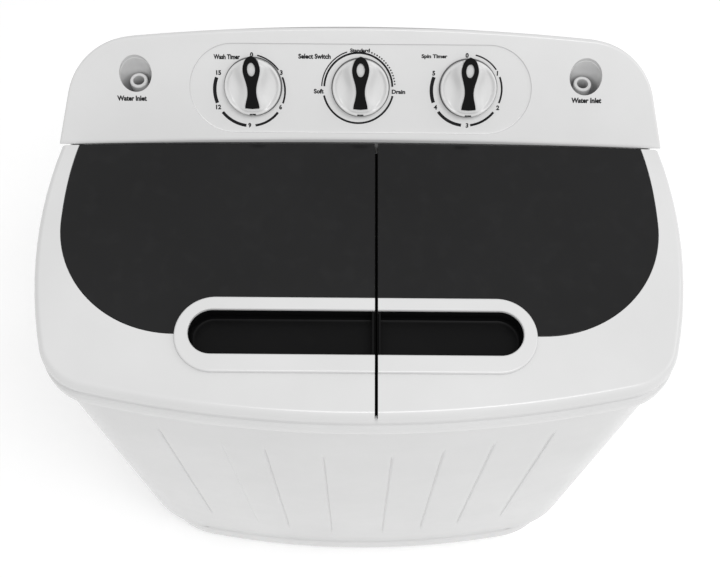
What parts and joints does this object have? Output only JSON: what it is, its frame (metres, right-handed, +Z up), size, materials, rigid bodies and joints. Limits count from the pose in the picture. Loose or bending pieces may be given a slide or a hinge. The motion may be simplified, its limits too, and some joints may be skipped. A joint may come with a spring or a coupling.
{
  "type": "twin tub washer",
  "caption": "Portable twin tub washer: wash tub and spin dryer side by side, two split dark lids with one shared handle ring, sloping console with dials.",
  "frame": {"origin": "middle of the footprint, on the floor", "axes": "+Z up, the front with the lids' handle faces -Y, the wash tub is on the -X side"},
  "size_m": [0.595, 0.363, 0.6592],
  "materials": {
    "white_shell": "glossy moulded white",
    "dark_window": "glossy near-black smoked panel",
    "black_trim": "satin black moulding",
    "tub_plastic": "satin pale moulding",
    "grey_plastic": "satin grey moulding",
    "rubber": "matt black rubber",
    "steel": "zinc-plated steel",
    "cast_metal": "die-cast aluminium",
    "motor_paint": "satin grey paint on steel"
  },
  "bodies": {
    "cabinet": {"outer_casing": "white_shell", "base_tray": "white_shell", "top_deck": "white_shell", "console_housing": "white_shell", "console_back_cover": "white_shell", "rear_service_panel": "white_shell", "water_inlet_left": "white_shell", "water_inlet_right": "white_shell", "wash_tub": "tub_plastic", "spin_outer_tub": "tub_plastic", "wash_timer_body": "grey_plastic", "selector_body": "grey_plastic", "spin_timer_body": "grey_plastic", "pulsator_bearing_housing": "grey_plastic", "drain_valve_body": "grey_plastic", "drain_spigot": "grey_plastic", "foot_front_left": "rubber", "foot_front_right": "rubber", "foot_rear_left": "rubber", "foot_rear_right": "rubber", "cord_gland": "rubber", "drive_belt": "rubber", "spin_seal": "rubber", "spin_motor_mount_1": "rubber", "spin_motor_mount_2": "rubber", "spin_motor_mount_3": "rubber", "inner_drain_hose": "rubber", "wash_motor_bracket": "steel", "spin_motor_plate": "steel", "brake_bracket": "steel", "wash_motor": "motor_paint", "spin_motor": "motor_paint"},
    "wash_lid": {"wash_lid_frame": "white_shell", "wash_lid_window": "dark_window", "wash_lid_handle_trim": "white_shell", "wash_lid_handle_pocket": "black_trim"},
    "spin_lid": {"spin_lid_frame": "white_shell", "spin_lid_window": "dark_window", "spin_lid_handle_trim": "white_shell", "spin_lid_handle_pocket": "black_trim"},
    "pulsator_drive": {"pulsator": "tub_plastic", "pulsator_shaft": "steel", "pulsator_pulley": "cast_metal"},
    "wash_motor_rotor": {"wash_motor_pulley": "cast_metal"},
    "spin_rotor": {"spin_basket": "tub_plastic", "spin_shaft": "steel", "brake_drum": "motor_paint"},
    "pressing_plate": {"spin_pressing_plate": "white_shell"},
    "brake_arm": {"brake_lever": "steel"},
    "wash_timer": {"wash_timer_knob": "white_shell", "wash_timer_pointer": "black_trim", "wash_timer_shaft": "steel"},
    "selector": {"selector_knob": "white_shell", "selector_pointer": "black_trim", "selector_shaft": "steel"},
    "spin_timer": {"spin_timer_knob": "white_shell", "spin_timer_pointer": "black_trim", "spin_timer_shaft": "steel"},
    "drain_plunger": {"drain_valve_plunger": "rubber"},
    "lint_trap": {"lint_filter": "tub_plastic"}
  },
  "joints": [
    {"name": "wash_lid_hinge", "type": "hinge", "parent": "cabinet", "child": "wash_lid", "pos_m": [-0.1355, 0.0825, 0.5785], "axis": [-1, 0, 0], "range_deg": [0, 90]},
    {"name": "spin_lid_hinge", "type": "hinge", "parent": "cabinet", "child": "spin_lid", "pos_m": [0.151, 0.0825, 0.5785], "axis": [-1, 0, 0], "range_deg": [0, 90]},
    {"name": "pulsator_spin", "type": "hinge", "parent": "cabinet", "child": "pulsator_drive", "pos_m": [-0.128, -0.029, 0.158], "axis": [0, 0, 1], "continuous": true},
    {"name": "wash_motor_spin", "type": "hinge", "parent": "cabinet", "child": "wash_motor_rotor", "pos_m": [-0.04, 0.062, 0.158], "axis": [0, 0, 1], "continuous": true},
    {"name": "spin_basket_spin", "type": "hinge", "parent": "cabinet", "child": "spin_rotor", "pos_m": [0.147, -0.028, 0.15], "axis": [0, 0, 1], "continuous": true},
    {"name": "pressing_plate_lift", "type": "slide", "parent": "spin_rotor", "child": "pressing_plate", "axis": [0, 0, 1], "range_m": [0, 0.16]},
    {"name": "brake_arm_pivot", "type": "hinge", "parent": "cabinet", "child": "brake_arm", "pos_m": [0.19, 0.0215, 0.1915], "axis": [0, 0, 1], "range_deg": [0, 4]},
    {"name": "wash_timer_turn", "type": "hinge", "parent": "cabinet", "child": "wash_timer", "pos_m": [-0.1, 0.13415, 0.62418], "axis": [0, 0.6428, -0.766], "range_deg": [0, 300]},
    {"name": "selector_turn", "type": "hinge", "parent": "cabinet", "child": "selector", "pos_m": [0, 0.13415, 0.62418], "axis": [0, 0.6428, -0.766], "range_deg": [-90, 90]},
    {"name": "spin_timer_turn", "type": "hinge", "parent": "cabinet", "child": "spin_timer", "pos_m": [0.1, 0.13415, 0.62418], "axis": [0, 0.6428, -0.766], "range_deg": [0, 300]},
    {"name": "drain_plunger_slide", "type": "slide", "parent": "cabinet", "child": "drain_plunger", "axis": [0, 0, -1], "range_m": [0, 0.01], "stiffness_N_per_m": 300},
    {"name": "lint_filter_lift", "type": "slide", "parent": "cabinet", "child": "lint_trap", "axis": [0, 0, 1], "range_m": [0, 0.03]}
  ],
  "couplings": [
    {"joint": "wash_motor_spin", "follows": "pulsator_spin", "ratio": 4.4286},
    {"joint": "brake_arm_pivot", "follows": "spin_lid_hinge", "ratio": 0.044444}
  ]
}
